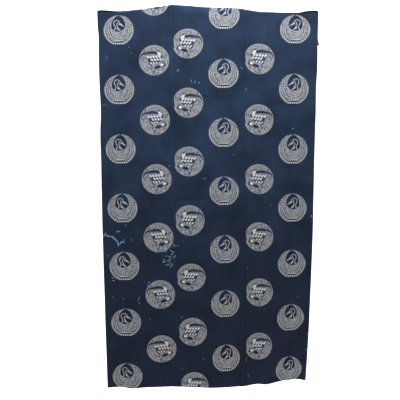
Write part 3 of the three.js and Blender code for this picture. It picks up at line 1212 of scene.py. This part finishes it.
class KATAZOME_OT_hemming(bpy.types.Operator):
    """Sews down one panel's turned sides, hem and flap edge"""

    bl_idname = "katazome.hemming"
    bl_label = "Hemming Stitches"

    index: IntProperty(name="Panel", description="0 left, 1 middle, 2 right", default=0, min=0, max=2)

    def execute(self, context):
        name = list(PANELS)[self.index]
        bm = bmesh.new()
        self.hem_panel(bm, PanelCut(name))
        piece = new_piece(f"hemming_{name}", bm, [thread_material(f"indigo_thread_{name}", colours().thread)])
        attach(piece, BODY)
        return {"FINISHED"}

    def hem_panel(self, bm, cut):
        s = sizes()
        inset = 0.003
        top, foot, from_corner = 0.03, 1.74, 0.034
        face = -s.thread * 0.15
        back = s.turned_gap + s.thread * 0.3
        kinds = ((s.stitch_length * 0.4, face), (s.stitch_length, back))
        sides = [cut.low + s.side_turning - inset] if cut.left == 0 else []
        if cut.right == CLOTH_WIDTH:
            sides.append(cut.high - s.side_turning + inset)
        for side in sides:
            for length, behind in kinds:
                tops, ends = stitch_row(top, foot, s.stitch_step, length)
                line = np.full(len(tops), side)
                add_stitches(bm, cut, np.stack([line, tops, line, ends], 1), behind)
        left, right = cut.low + from_corner, cut.high - from_corner
        for line_down in (hem_down, lambda at: np.full(len(at), -s.flap_length + 2 * s.hem_turning)):
            for length, behind in kinds:
                lefts, rights = stitch_row(left, right, s.stitch_step, length)
                down = line_down((lefts + rights) / 2) - s.hem_turning + inset
                add_stitches(bm, cut, np.stack([lefts, down, rights, down], 1), behind)


class KATAZOME_OT_seam_thread(bpy.types.Operator):
    """Adds the pale thread that shows along the left seam"""

    bl_idname = "katazome.seam_thread"
    bl_label = "Seam Thread"

    def execute(self, context):
        s = sizes()
        cut = PanelCut("left")
        bm = bmesh.new()
        down = np.array(PALE_STITCHES) * MM
        half = 0.0021 * (1 + 0.3 * np.sin(down * 90))
        inset, slant = 0.0009, 0.0008
        line = np.full(len(down), cut.high - inset)
        add_stitches(bm, cut, np.stack([line, down - half, line + slant, down + half], 1), -s.thread * 0.5)
        piece = new_piece("seam_thread", bm, [thread_material("pale_thread", colours().pale_thread)])
        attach(piece, BODY)
        return {"FINISHED"}


class KATAZOME_OT_stage(bpy.types.Operator):
    """Sets the floor, the lights and the camera"""

    bl_idname = "katazome.stage"
    bl_label = "Stage"

    def execute(self, context):
        s = stage_settings()
        scene = context.scene
        scene.view_settings.view_transform = "Standard"
        self.add_floor(s)
        self.add_world(scene, s)
        self.add_lamp("key_lamp", place=(0.1, -0.8, 0.9), aim=(0.0, 0.0, -0.4), size=0.9, power=s.key_power)
        behind, backdrop = (0.0, 2.2, 2.0), (0.0, 3.2, -1.4)
        self.add_lamp("backdrop_lamp", place=behind, aim=backdrop, size=3.0, power=s.backdrop_power)
        data = bpy.data.cameras.new("camera")
        data.lens = s.lens
        data.sensor_width = 36.0
        camera = bpy.data.objects.new("camera", data)
        camera.location = (s.camera_aside, -s.camera_distance, -s.camera_drop)
        camera.rotation_euler = (math.pi / 2 - s.camera_tilt, 0.0, 0.0)
        scene.collection.objects.link(camera)
        scene.camera = camera
        return {"FINISHED"}

    def add_floor(self, s):
        """A pale floor that rises behind in one sweep."""
        bm = bmesh.new()
        front, back, height, bend, half_width = -4.0, 4.5, 6.0, 1.5, 6.0
        edge = [bm.verts.new((-half_width, front, 0.0)), bm.verts.new((-half_width, back - bend, 0.0))]
        bm.edges.new(edge)
        turned_edge = bmesh.ops.spin(
            bm,
            geom=[edge[1]],
            cent=(-half_width, back - bend, bend),
            axis=(1.0, 0.0, 0.0),
            angle=math.pi / 2,
            steps=16,
        )["geom_last"]
        top = bm.verts.new((-half_width, back, height))
        bm.edges.new([turned_edge[0], top])
        side = bmesh.ops.extrude_edge_only(bm, edges=bm.edges[:])["geom"]
        moved = [g for g in side if isinstance(g, bmesh.types.BMVert)]
        bmesh.ops.translate(bm, verts=moved, vec=(2 * half_width, 0.0, 0.0))
        bmesh.ops.recalc_face_normals(bm, faces=bm.faces[:])
        floor = new_piece("floor", bm, [self.floor_material()])
        floor.location.z = -s.floor_drop

    def floor_material(self):
        material = bpy.data.materials.new("floor_paint")
        material.use_nodes = True
        surface = material.node_tree.nodes["Principled BSDF"]
        surface.inputs["Base Color"].default_value = (0.9, 0.9, 0.9, 1.0)
        surface.inputs["Roughness"].default_value = 0.9
        return material

    def add_world(self, scene, s):
        world = bpy.data.worlds.new("studio")
        world.use_nodes = True
        sky = world.node_tree.nodes["Background"]
        sky.inputs["Color"].default_value = (0.95, 0.97, 1.0, 1.0)
        sky.inputs["Strength"].default_value = s.ambient
        scene.world = world

    def add_lamp(self, name, place, aim, size, power):
        data = bpy.data.lights.new(name, "AREA")
        data.shape = "SQUARE"
        data.size = size
        data.energy = power
        lamp = bpy.data.objects.new(name, data)
        lamp.location = place
        way = Vector(aim) - Vector(place)
        lamp.rotation_euler = way.to_track_quat("-Z", "Y").to_euler()
        bpy.context.scene.collection.objects.link(lamp)


class KATAZOME_PT_cloth(bpy.types.Panel):
    """Lists the cloth's sizes, colours and operators"""

    bl_label = "Katazome Cloth"
    bl_idname = "KATAZOME_PT_cloth"
    bl_space_type = "VIEW_3D"
    bl_region_type = "UI"
    bl_category = "Cloth"

    def draw(self, context):
        layout = self.layout
        for name, group in SETTINGS.items():
            box = layout.box()
            settings = getattr(context.scene, name)
            for prop in group.__annotations__:
                box.prop(settings, prop)
        for operator in (KATAZOME_OT_stage, KATAZOME_OT_seam_thread):
            layout.operator(operator.bl_idname)
        for index, name in enumerate(PANELS):
            for operator in (KATAZOME_OT_hemming, KATAZOME_OT_panel):
                layout.operator(operator.bl_idname, text=f"{operator.bl_label}, {name}").index = index


SETTINGS = {
    "katazome_sizes": ClothSizes,
    "katazome_print": PrintSizes,
    "katazome_colours": DyeColours,
    "katazome_stage": StageSettings,
}
CLASSES = (
    *SETTINGS.values(),
    KATAZOME_OT_panel,
    KATAZOME_OT_hemming,
    KATAZOME_OT_seam_thread,
    KATAZOME_OT_stage,
    KATAZOME_PT_cloth,
)


def register():
    for cls in CLASSES:
        bpy.utils.register_class(cls)
    for name, group in SETTINGS.items():
        setattr(bpy.types.Scene, name, PointerProperty(type=group))


def unregister():
    for name in SETTINGS:
        delattr(bpy.types.Scene, name)
    for cls in reversed(CLASSES):
        bpy.utils.unregister_class(cls)


def main():
    register()
    bpy.ops.katazome.stage()
    bpy.ops.katazome.seam_thread()
    for index in range(len(PANELS)):
        bpy.ops.katazome.hemming(index=index)
        bpy.ops.katazome.panel(index=index)


if __name__ == "__main__":
    main()
